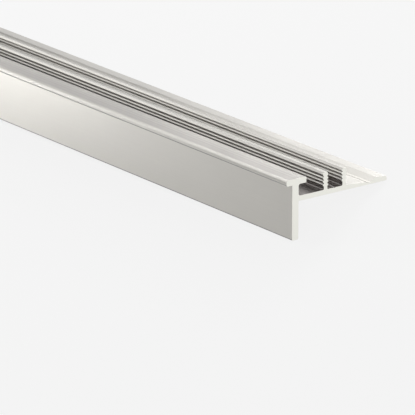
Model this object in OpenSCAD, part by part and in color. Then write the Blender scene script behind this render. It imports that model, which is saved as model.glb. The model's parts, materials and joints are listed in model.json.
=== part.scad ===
// Stair nosing, base profile: one extruded length of aluminium.
// The drop plate covers the front of the step, the base flange lies on the tread,
// and a cover profile grips between the head and the two serrated uprights.
// The section is drawn as fitted on a step, Y back and Z up, then laid down as it rests on a floor.

/* [Stock] */
// Length of the piece
length = 1000; // [100:10:3000]
// Radius of the small rounded outer edges
edge_r = 0.4; // [0.1:0.05:0.5]

/* [Drop plate] */
// Thickness of the drop plate and of the neck above it
plate_t = 3.1; // [2:0.1:5]
// Height of the drop plate below the underside of the base flange
drop_h = 15.7; // [8:0.1:40]

/* [Head] */
// Thickness of the head
head_t = 2.4; // [1.6:0.1:3.5]
// Overhang of the lip in front of the drop plate
lip_out = 2.9; // [2:0.1:6]
// Overhang of the head behind the neck
head_back = 3.8; // [2:0.1:6]
// Radius of the rounded top edge of the lip
lip_r = 1.1; // [0.3:0.1:1.5]
// Radius of the rounded bottom edge of the lip
lip_low_r = 0.8; // [0.3:0.1:1.2]
// Radius of the fillets under the head and at the foot of the neck
neck_r = 0.9; // [0.3:0.1:1.2]

/* [Uprights] */
// Height of the head and the uprights above the base flange
cover_h = 7.2; // [7:0.1:14]
// Thickness of an upright at its foot
upright_t = 1.7; // [1.2:0.1:3]
// Clear width between the neck and the foot of the front upright
channel_w = 12.5; // [9:0.1:24]
// Clear width between the feet of the two uprights
slot_w = 7.6; // [5:0.1:16]
// Radius of the fillets at the feet of the uprights
foot_r = 0.4; // [0.1:0.05:0.6]

/* [Serration] */
// How far a tooth stands out from the face of its upright
tooth_d = 0.45; // [0.2:0.05:0.8]
// Spacing of the teeth, up and down the upright
tooth_pitch = 1.4; // [0.8:0.05:1.5]
// Height of the flat crest of a tooth, and of the flat root between two teeth
crest_h = 0.27; // [0.1:0.01:0.35]
// Number of teeth on a serrated face
tooth_count = 4; // [1:1:4]
// Height of the slope that leads in from the top of an upright to its first crest
lead_h = 0.9; // [0.5:0.05:1]
// Height of the flat crest of the first tooth on the front upright
front_crest_h = 0.33; // [0.05:0.01:0.35]
// Height of the flat crest of the first tooth on the rear upright, whose teeth stand higher
rear_crest_h = 0.1; // [0.05:0.01:0.35]

/* [Base flange] */
// Thickness of the base flange under the cover
flange_t = 2.1; // [1.6:0.1:4]
// Width of the fall behind the rear upright, down to the screw trough
fall_w = 12.5; // [5:0.1:24]
// Thickness of the flange at the bottom of the screw trough
trough_t = 0.85; // [0.8:0.05:1.5]
// Width of the ramp from the trough up to the rear rim
ramp_w = 2.6; // [1.5:0.1:5]
// Thickness of the flange at the rear rim
rim_t = 2.4; // [1.8:0.1:4]
// Width of the bevel behind the rear rim
bevel_w = 5.5; // [2:0.1:10]
// Thickness of the flange at its rear edge
tip_t = 1.7; // [1:0.1:1.7]
// Width of the two grooves that guide a drill
groove_w = 0.8; // [0.4:0.1:1.2]
// Depth of the two grooves that guide a drill
groove_d = 0.35; // [0.2:0.05:0.6]
// Distance of the rear groove in front of the bottom of the screw trough
groove_in = 1.9; // [1.5:0.1:4]

/* [Hidden] */
$fn = 48;

// How far a piece of the section runs into its neighbour, so that they are one
overlap = 0.2;

// Heights in the section, from the bottom of the drop plate
flange_z = drop_h + flange_t;
top_z = flange_z + cover_h;
head_z = top_z - head_t;
trough_z = drop_h + trough_t;
lead_z = top_z - lead_h;
flank_h = tooth_pitch / 2 - crest_h;

// Depths in the section, from the front of the drop plate
head_y = plate_t + head_back;
front_y = plate_t + channel_w;
rear_y = front_y + upright_t + slot_w;
fall_y = rear_y + upright_t;
trough_y = fall_y + fall_w;
rim_y = trough_y + ramp_w;
tip_y = rim_y + bevel_w;

// The grooves run midway between the uprights and along the fall, near the bottom of the trough
slot_groove_y = rear_y - slot_w / 2;
fall_groove_y = trough_y - groove_in;
fall_groove_z = trough_z + (flange_z - trough_z) * groove_in / fall_w;

// On a floor the piece lies back on two rounded edges: the rear foot of the plate and the tip of the flange
rest_angle = atan2(drop_h, tip_y - plate_t);
foot_y = plate_t - edge_r;
rest_front = turned_y(edge_r, edge_r) - edge_r;
rest_back = turned_y(tip_y, drop_h + tip_t);
rest_bottom = turned_z(foot_y, edge_r) - edge_r;

// Where a point of the section comes to when the piece lies back
function turned_y(y, z) = y * cos(rest_angle) + z * sin(rest_angle);
function turned_z(y, z) = z * cos(rest_angle) - y * sin(rest_angle);

// Height of the lower edge of a tooth's crest, counted down from the first crest
function crest_z(i, first_h) = lead_z - first_h - i * tooth_pitch;

// Outline of a serrated face from its top down, out is -1 for teeth to the front and 1 to the back
function serration(face_y, out, first_h) = [
    for (i = [0:tooth_count - 1])
        each [
            [face_y, i == 0 ? top_z : crest_z(i, first_h) + crest_h + flank_h],
            [face_y + out * tooth_d, i == 0 ? lead_z : crest_z(i, first_h) + crest_h],
            [face_y + out * tooth_d, crest_z(i, first_h)],
            [face_y, crest_z(i, first_h) - flank_h],
        ],
];

// The same points in the other order
function backwards(points) = [for (i = [len(points) - 1:-1:0]) points[i]];

// What lies between a square corner at the origin and the arc that rounds it, towards +X and +Y
module corner(r) {
    difference() {
        translate([-overlap, -overlap])
            square(r + overlap);
        translate([r, r])
            circle(r);
    }
}

// A corner turned by quarter turns about its own point
module corner_at(y, z, turn, r) {
    translate([y, z])
        rotate(turn)
            corner(r);
}

// A V groove cut down from a surface, its sides carried on above it
module groove(y, z) {
    half_w = groove_w / 2 * (1 + overlap / groove_d);
    polygon([
        [y - half_w, z + overlap],
        [y, z - groove_d],
        [y + half_w, z + overlap],
    ]);
}

// The head: a rounded lip in front of the plate and an overhang behind it
module head_section() {
    difference() {
        translate([-lip_out, head_z])
            square([lip_out + head_y, head_t]);
        corner_at(-lip_out, head_z, 0, lip_low_r);
        corner_at(head_y, head_z, 90, edge_r);
        corner_at(head_y, top_z, 180, edge_r);
        corner_at(-lip_out, top_z, 270, lip_r);
    }
    corner_at(plate_t, head_z, 270, neck_r);
}

// The drop plate, carried up as the neck of the head
module plate_section() {
    difference() {
        square([plate_t, head_z + overlap]);
        corner_at(0, 0, 0, edge_r);
        corner_at(plate_t, 0, 90, edge_r);
    }
    corner_at(plate_t, flange_z, 0, neck_r);
}

// The base flange: flat under the cover, then falling to the screw trough, with a raised rear rim
module flange_section() {
    difference() {
        polygon([
            [plate_t - overlap, drop_h],
            [tip_y, drop_h],
            [tip_y, drop_h + tip_t],
            [rim_y, drop_h + rim_t],
            [trough_y, trough_z],
            [fall_y, flange_z],
            [plate_t - overlap, flange_z],
        ]);
        corner_at(tip_y, drop_h, 90, edge_r);
        groove(slot_groove_y, flange_z);
        groove(fall_groove_y, fall_groove_z);
    }
}

// The front upright, serrated on both faces
module front_upright_section() {
    back_y = front_y + upright_t;
    polygon(concat(
        [[back_y, flange_z - overlap]],
        backwards(serration(back_y, 1, front_crest_h)),
        serration(front_y, -1, front_crest_h),
        [[front_y, flange_z - overlap]]
    ));
    corner_at(front_y, flange_z, 90, foot_r);
    corner_at(back_y, flange_z, 0, foot_r);
}

// The rear upright, serrated on its front face and plain behind, where the floor covering butts
module rear_upright_section() {
    difference() {
        polygon(concat(
            [[fall_y, flange_z - overlap], [fall_y, top_z]],
            serration(rear_y, -1, rear_crest_h),
            [[rear_y, flange_z - overlap]]
        ));
        corner_at(fall_y, top_z, 180, edge_r);
    }
    corner_at(rear_y, flange_z, 90, foot_r);
}

// The whole extruded section
module section() {
    head_section();
    plate_section();
    flange_section();
    front_upright_section();
    rear_upright_section();
}

// The piece as it lies, centred over the origin
module nosing_profile() {
    color([0.86, 0.84, 0.81])
        translate([0, -(rest_front + rest_back) / 2, -rest_bottom])
            rotate([-rest_angle, 0, 0])
                rotate([90, 0, 90])
                    linear_extrude(length, center = true)
                        section();
}

nosing_profile();
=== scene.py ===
import json
import math

import bpy
from mathutils import Matrix, Vector


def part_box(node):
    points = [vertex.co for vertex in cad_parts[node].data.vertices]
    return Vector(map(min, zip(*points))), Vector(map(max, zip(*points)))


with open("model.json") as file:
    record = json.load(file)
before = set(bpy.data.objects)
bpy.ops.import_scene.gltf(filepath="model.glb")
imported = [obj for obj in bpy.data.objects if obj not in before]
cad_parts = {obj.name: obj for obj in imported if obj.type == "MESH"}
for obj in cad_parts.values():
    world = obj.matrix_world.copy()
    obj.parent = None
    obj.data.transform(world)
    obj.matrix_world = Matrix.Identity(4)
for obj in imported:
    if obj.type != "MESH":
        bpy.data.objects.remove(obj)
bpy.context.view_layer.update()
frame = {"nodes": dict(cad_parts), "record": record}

# The nosing profile
# One length of extruded aluminium, sawn square at both ends and silver anodised to a satin sheen.
# It lies loose on the floor, back on the foot of its drop plate and the rear edge of its flange.

profile = frame["nodes"]["nosing_profile"]
end_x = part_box("nosing_profile")[1].x
mounts = {mount["name"]: mount for mount in frame["record"]["mounts"]}
tread = Vector(mounts["tread_seat"]["pos_m"])
riser = Vector(mounts["riser_seat"]["pos_m"])
along = Vector((1.0, 0.0, 0.0))
back = Vector(mounts["riser_seat"]["axis"])
up = -Vector(mounts["tread_seat"]["axis"])

ANODISED_DARK = (0.52, 0.507, 0.477, 1.0)
ANODISED_LIGHT = (0.60, 0.585, 0.551, 1.0)
# painted shade: the colour that darkens the skin down in the channels
CHANNEL_SHADE = (0.48, 0.46, 0.48, 1.0)
# painted shade: the colour that darkens the lower edges of the lip and the plate
EDGE_SHADE = (0.38, 0.38, 0.39, 1.0)
DRAWN_DULL = (0.87, 0.855, 0.87, 1.0)
SAWN_DARK = (0.92, 0.915, 0.85, 1.0)
SAWN_LIGHT = (0.95, 0.945, 0.88, 1.0)
SATIN_SMOOTH = 0.30
SATIN_ROUGH = 0.40
LINE_RELIEF = 0.15
LINE_DEPTH = 0.00002

# fine die lines, coarser drawn ones and saw lines: how many lie side by side, and how often one changes
DIE_LINES_PER_METRE = 2600.0
DIE_CHANGES_PER_METRE = 1.5
DRAWN_LINES_PER_METRE = 900.0
DRAWN_CHANGES_PER_METRE = 0.8
SAW_LINES_PER_METRE = 3200.0
SAW_CHANGES_PER_METRE = 90.0
SAW_TURN = math.radians(12)
CLOUDS_PER_METRE = 28.0

# the values of the noise between which a drawn line comes in, and between which the tone changes the gloss
DRAWN_LOW = 0.42
DRAWN_HIGH = 0.58
TONE_LOW = 0.3
TONE_HIGH = 0.7

# heights over the seat on the tread, and depths behind the seat on the riser
FLANGE_INSIDE = 0.001
CHANNEL_FLOOR = 0.0021
# the height at which the painted shade in the channels has faded out
CHANNEL_SHADE_TOP = 0.0065
NECK_INSIDE = -0.0002
CHANNEL_REAR = 0.0224
LIP_LOW_TOP = 0.0075
LIP_FRONT = -0.0047
PLATE_FOOT_TOP = -0.0152
HEAD_TOP = 0.0088
HEAD_REAR = 0.0039

# how near to its end the piece counts as cut
CUT_RIM = 0.00002


def shader_node(tree, kind, **settings):
    """A new node of that kind, with its settings."""
    made = tree.nodes.new(kind)
    for name, value in settings.items():
        setattr(made, name, value)
    return made


def satin_anodised():
    """Metal whose colour, gloss and height vary as die lines drawn out along X, with a broad cloudiness.
    Where the Object X is that of a cut end, fine saw lines across the section take the lines' place.
    The skin is darkened by painted shade down in the channels and along the lower edges of the lip and the
    plate, and the top of the head has coarser lines as well."""
    material = bpy.data.materials.new("satin_anodised")
    material.use_nodes = True
    tree = material.node_tree
    link = tree.links.new
    metal = tree.nodes["Principled BSDF"]
    metal.inputs["Metallic"].default_value = 1.0
    place = shader_node(tree, "ShaderNodeTexCoord").outputs["Object"]

    def streaks(scale, detail, turn=0.0):
        """Noise with so many changes per metre along each axis, turned about X."""
        stretched = shader_node(tree, "ShaderNodeMapping")
        stretched.inputs["Rotation"].default_value = (turn, 0.0, 0.0)
        stretched.inputs["Scale"].default_value = scale
        link(place, stretched.inputs["Vector"])
        noise = shader_node(tree, "ShaderNodeTexNoise", noise_dimensions="3D")
        noise.inputs["Scale"].default_value = 1.0
        noise.inputs["Detail"].default_value = detail
        link(stretched.outputs["Vector"], noise.inputs["Vector"])
        return noise.outputs["Fac"]

    def distance(direction):
        """How far the point lies from the origin along a direction: their dot product."""
        run = shader_node(tree, "ShaderNodeVectorMath", operation="DOT_PRODUCT")
        run.inputs[1].default_value = direction
        link(place, run.inputs[0])
        return run.outputs["Value"]

    def worked(operation, first, second):
        """One sum on a socket and either a number or another socket."""
        step = shader_node(tree, "ShaderNodeMath", operation=operation)
        link(first, step.inputs[0])
        if isinstance(second, float):
            step.inputs[1].default_value = second
        else:
            link(second, step.inputs[1])
        return step.outputs["Value"]

    def blended(share, first, second, kind="MIX"):
        """From the first colour to the second one, or to their product, by a share."""
        blend = shader_node(tree, "ShaderNodeMix", data_type="RGBA", blend_type=kind)
        link(share, blend.inputs["Factor"])
        for colour, socket in ((first, blend.inputs["A"]), (second, blend.inputs["B"])):
            if isinstance(colour, tuple):
                socket.default_value = colour
            else:
                link(colour, socket)
        return blend.outputs["Result"]

    def ranged(value, low, high, at_low, at_high):
        """From one number to another as a value goes from low to high, and no further."""
        span = shader_node(tree, "ShaderNodeMapRange")
        span.inputs["From Min"].default_value = low
        span.inputs["From Max"].default_value = high
        span.inputs["To Min"].default_value = at_low
        span.inputs["To Max"].default_value = at_high
        link(value, span.inputs["Value"])
        return span.outputs["Result"]

    # 1 on the two cut ends, 0 elsewhere
    axes = shader_node(tree, "ShaderNodeSeparateXYZ")
    link(place, axes.inputs["Vector"])
    from_middle = shader_node(tree, "ShaderNodeMath", operation="ABSOLUTE")
    link(axes.outputs["X"], from_middle.inputs[0])
    cut = worked("GREATER_THAN", from_middle.outputs["Value"], end_x - CUT_RIM)

    # painted shade in the channels: from 1 on the floor of the channels to 0 near the tops of their walls
    height = worked("SUBTRACT", distance(up), tread.dot(up))
    depth = worked("SUBTRACT", distance(back), riser.dot(back))
    over_flange = worked("GREATER_THAN", height, FLANGE_INSIDE)
    behind_neck = worked("GREATER_THAN", depth, NECK_INSIDE)
    before_fall = worked("LESS_THAN", depth, CHANNEL_REAR)
    deep = ranged(height, CHANNEL_FLOOR, CHANNEL_SHADE_TOP, 1.0, 0.0)
    between = worked("MULTIPLY", behind_neck, before_fall)
    channel = worked("MULTIPLY", worked("MULTIPLY", over_flange, between), deep)

    # painted shade: 1 along the lower edges of the lip and of the plate
    lip = worked("LESS_THAN", depth, LIP_FRONT)
    lip_low = worked("MULTIPLY", lip, worked("LESS_THAN", height, LIP_LOW_TOP))
    low_edge_shade = worked("MAXIMUM", lip_low, worked("LESS_THAN", height, PLATE_FOOT_TOP))

    # coarser lines on the top of the head, 1 along a line and 0 beside it
    head = worked("LESS_THAN", depth, HEAD_REAR)
    head_top = worked("MULTIPLY", head, worked("GREATER_THAN", height, HEAD_TOP))
    drawn_scale = (DRAWN_CHANGES_PER_METRE, DRAWN_LINES_PER_METRE, DRAWN_LINES_PER_METRE)
    drawn = ranged(streaks(drawn_scale, 1.0), DRAWN_LOW, DRAWN_HIGH, 0.0, 1.0)
    drawn_top = worked("MULTIPLY", head_top, drawn)

    # the tone is the mean of the lines, die lines or saw lines, and of a broad cloudiness of the skin
    die = streaks((DIE_CHANGES_PER_METRE, DIE_LINES_PER_METRE, DIE_LINES_PER_METRE), 3.0)
    saw = streaks((1.0, SAW_LINES_PER_METRE, SAW_CHANGES_PER_METRE), 2.0, SAW_TURN)
    cloud = streaks((CLOUDS_PER_METRE, CLOUDS_PER_METRE, CLOUDS_PER_METRE), 2.0)
    die_or_saw = shader_node(tree, "ShaderNodeMix", data_type="FLOAT")
    link(cut, die_or_saw.inputs["Factor"])
    link(die, die_or_saw.inputs["A"])
    link(saw, die_or_saw.inputs["B"])
    lines = die_or_saw.outputs["Result"]
    tone = worked("MULTIPLY", worked("ADD", lines, cloud), 0.5)

    skin = blended(tone, ANODISED_DARK, ANODISED_LIGHT)
    # painted shade down in the channels, strongest on their floors
    skin = blended(channel, skin, CHANNEL_SHADE, "MULTIPLY")
    # painted shade along the lower edges of the lip and the plate
    skin = blended(low_edge_shade, skin, EDGE_SHADE, "MULTIPLY")
    skin = blended(drawn_top, skin, DRAWN_DULL, "MULTIPLY")
    bare = blended(tone, SAWN_DARK, SAWN_LIGHT)
    link(blended(cut, skin, bare), metal.inputs["Base Color"])
    roughness = ranged(tone, TONE_LOW, TONE_HIGH, SATIN_SMOOTH, SATIN_ROUGH)
    link(roughness, metal.inputs["Roughness"])

    relief = shader_node(tree, "ShaderNodeBump")
    relief.inputs["Strength"].default_value = LINE_RELIEF
    relief.inputs["Distance"].default_value = LINE_DEPTH
    link(lines, relief.inputs["Height"])
    link(relief.outputs["Normal"], metal.inputs["Normal"])
    return material


finish = satin_anodised()
for slot in profile.material_slots:
    slot.material = finish

# The floor
# A plain pale studio floor, matt and level, that the piece lies on.
# It is seen as near white, and takes the soft shadow of the piece.

FLOOR_HALF = 6.0
FLOOR_PALE = (0.86, 0.86, 0.86, 1.0)
FLOOR_SEEN = (0.94, 0.94, 0.94, 1.0)
SHADOW_SHARE = 0.1


def pale_floor():
    """Matt white that shows itself to the camera and in reflections as mostly its own even tone.
    What is seen is that tone, with a small share of the matt white under the lamps for the shadow."""
    material = bpy.data.materials.new("pale_floor")
    material.use_nodes = True
    tree = material.node_tree
    link = tree.links.new
    tree.nodes.clear()
    matt = shader_node(tree, "ShaderNodeBsdfDiffuse")
    matt.inputs["Color"].default_value = FLOOR_PALE
    even = shader_node(tree, "ShaderNodeEmission")
    even.inputs["Color"].default_value = FLOOR_SEEN
    seen_mix = shader_node(tree, "ShaderNodeMixShader")
    seen_mix.inputs["Fac"].default_value = SHADOW_SHARE
    link(even.outputs["Emission"], seen_mix.inputs[1])
    link(matt.outputs["BSDF"], seen_mix.inputs[2])
    path = shader_node(tree, "ShaderNodeLightPath")
    seen = shader_node(tree, "ShaderNodeMath", operation="MAXIMUM")
    link(path.outputs["Is Camera Ray"], seen.inputs[0])
    link(path.outputs["Is Glossy Ray"], seen.inputs[1])
    seen_or_through = shader_node(tree, "ShaderNodeMath", operation="MAXIMUM")
    link(seen.outputs["Value"], seen_or_through.inputs[0])
    link(path.outputs["Is Transmission Ray"], seen_or_through.inputs[1])
    ways = shader_node(tree, "ShaderNodeMixShader")
    link(seen_or_through.outputs["Value"], ways.inputs["Fac"])
    link(matt.outputs["BSDF"], ways.inputs[1])
    link(seen_mix.outputs["Shader"], ways.inputs[2])
    out = shader_node(tree, "ShaderNodeOutputMaterial")
    link(ways.outputs["Shader"], out.inputs["Surface"])
    return material


floor_mesh = bpy.data.meshes.new("floor")
floor_corners = [
    (-FLOOR_HALF, -FLOOR_HALF, 0.0),
    (FLOOR_HALF, -FLOOR_HALF, 0.0),
    (FLOOR_HALF, FLOOR_HALF, 0.0),
    (-FLOOR_HALF, FLOOR_HALF, 0.0),
]
floor_mesh.from_pydata(floor_corners, [], [(0, 1, 2, 3)])
floor_mesh.materials.append(pale_floor())
floor = bpy.data.objects.new("floor", floor_mesh)
bpy.context.scene.collection.objects.link(floor)

# The camera
# It looks at the piece as it would sit on a step: from the front right and a little above, from far off.
# The fitted axes come from the two seats, because the piece lies turned back from that pose.

PLATE_THICKNESS = 0.0031
SEAT_HEIGHT = 0.00785
AIM_FROM_END = 0.0547
AIM_BELOW_FOOT = 0.00074
CAMERA_AZIMUTH = math.radians(53.07)
CAMERA_HEIGHT_ANGLE = math.radians(18.24)
CAMERA_DISTANCE = 1.6159
SENSOR_WIDTH_MM = 36.0
FOCAL_LENGTH_MM = 351.15

# the front foot of the plate at the cut end, and from it the point that is looked at
foot = riser - PLATE_THICKNESS * back - SEAT_HEIGHT * up
foot.x = end_x
aim = foot - AIM_FROM_END * along - AIM_BELOW_FOOT * up
level = math.sin(CAMERA_AZIMUTH) * along - math.cos(CAMERA_AZIMUTH) * back
towards = math.cos(CAMERA_HEIGHT_ANGLE) * level + math.sin(CAMERA_HEIGHT_ANGLE) * up
camera_right = up.cross(towards).normalized()
camera_up = towards.cross(camera_right)
eye = aim + CAMERA_DISTANCE * towards

lens = bpy.data.cameras.new("camera")
lens.sensor_width = SENSOR_WIDTH_MM
lens.lens = FOCAL_LENGTH_MM
lens.clip_start = 0.1
lens.clip_end = 50.0
camera = bpy.data.objects.new("camera", lens)
turn = Matrix((camera_right, camera_up, towards)).transposed().to_4x4()
camera.matrix_world = Matrix.Translation(eye) @ turn
bpy.context.scene.collection.objects.link(camera)
bpy.context.scene.camera = camera

# The light
# Plain soft studio light. The near lamps stand round the half with the cut end that the camera looks at,
# the far ones light the other half, and the room is dim on their side and brighter on the right.

NEAR_SHARE = 0.75
FAR_SHARE = -0.6
near_spot = Vector((NEAR_SHARE * end_x, 0.0, 0.0))
far_spot = Vector((FAR_SHARE * end_x, 0.0, 0.0))


def soft_lamp(name, place, spot, width, height, power):
    """A rectangular area lamp at place, turned so that it faces along the line from there to a spot."""
    light = bpy.data.lights.new(name, "AREA")
    light.shape = "RECTANGLE"
    light.size = width
    light.size_y = height
    light.energy = power
    lamp = bpy.data.objects.new(name, light)
    lamp.location = place
    lamp.rotation_euler = (spot - Vector(place)).to_track_quat("-Z", "Y").to_euler()
    bpy.context.scene.collection.objects.link(lamp)


soft_lamp("back_lamp", (0.13, 0.70, 0.25), near_spot, 0.4, 0.4, 3.5)
soft_lamp("back_strip", (-0.25, 0.50, 0.10), near_spot, 0.5, 0.16, 0.14)
soft_lamp("back_left_lamp", (-0.17, 0.54, 0.64), near_spot, 0.5, 0.5, 2.1)
soft_lamp("overhead_lamp", (-0.19, 0.10, 0.82), near_spot, 0.35, 0.35, 0.9)
soft_lamp("high_left_lamp", (-0.34, -0.26, 0.64), near_spot, 0.35, 0.35, 0.9)
soft_lamp("front_left_lamp", (-0.43, -0.41, 0.42), near_spot, 0.4, 0.4, 0.62)
soft_lamp("low_strip", (-0.1, -0.25, 0.018), near_spot, 0.26, 0.03, 0.25)
soft_lamp("far_left_lamp", (-1.3, -0.85, 0.36), far_spot, 0.7, 0.5, 1.1)
soft_lamp("far_front_lamp", (-1.6, -0.35, 0.75), far_spot, 0.6, 0.6, 1.3)
soft_lamp("far_back_lamp", (-1.1, 0.6, 0.45), far_spot, 0.5, 0.5, 0.9)

ROOM_WHITE = (1.0, 1.0, 1.0, 1.0)
ROOM_DIM = 0.13
ROOM_BRIGHT = 0.6
ROOM_BLEND = 0.3


def studio_room():
    """White all round, with a strength that grows with the X of the direction, from left to right."""
    world = bpy.data.worlds.new("room")
    world.use_nodes = True
    tree = world.node_tree
    link = tree.links.new
    white = tree.nodes["Background"]
    white.inputs["Color"].default_value = ROOM_WHITE
    way = shader_node(tree, "ShaderNodeTexCoord")
    axes = shader_node(tree, "ShaderNodeSeparateXYZ")
    link(way.outputs["Generated"], axes.inputs["Vector"])
    side = shader_node(tree, "ShaderNodeMapRange")
    side.inputs["From Min"].default_value = -ROOM_BLEND
    side.inputs["From Max"].default_value = ROOM_BLEND
    side.inputs["To Min"].default_value = ROOM_DIM
    side.inputs["To Max"].default_value = ROOM_BRIGHT
    link(axes.outputs["X"], side.inputs["Value"])
    link(side.outputs["Result"], white.inputs["Strength"])
    return world


bpy.context.scene.world = studio_room()
bpy.context.scene.view_settings.view_transform = "Standard"
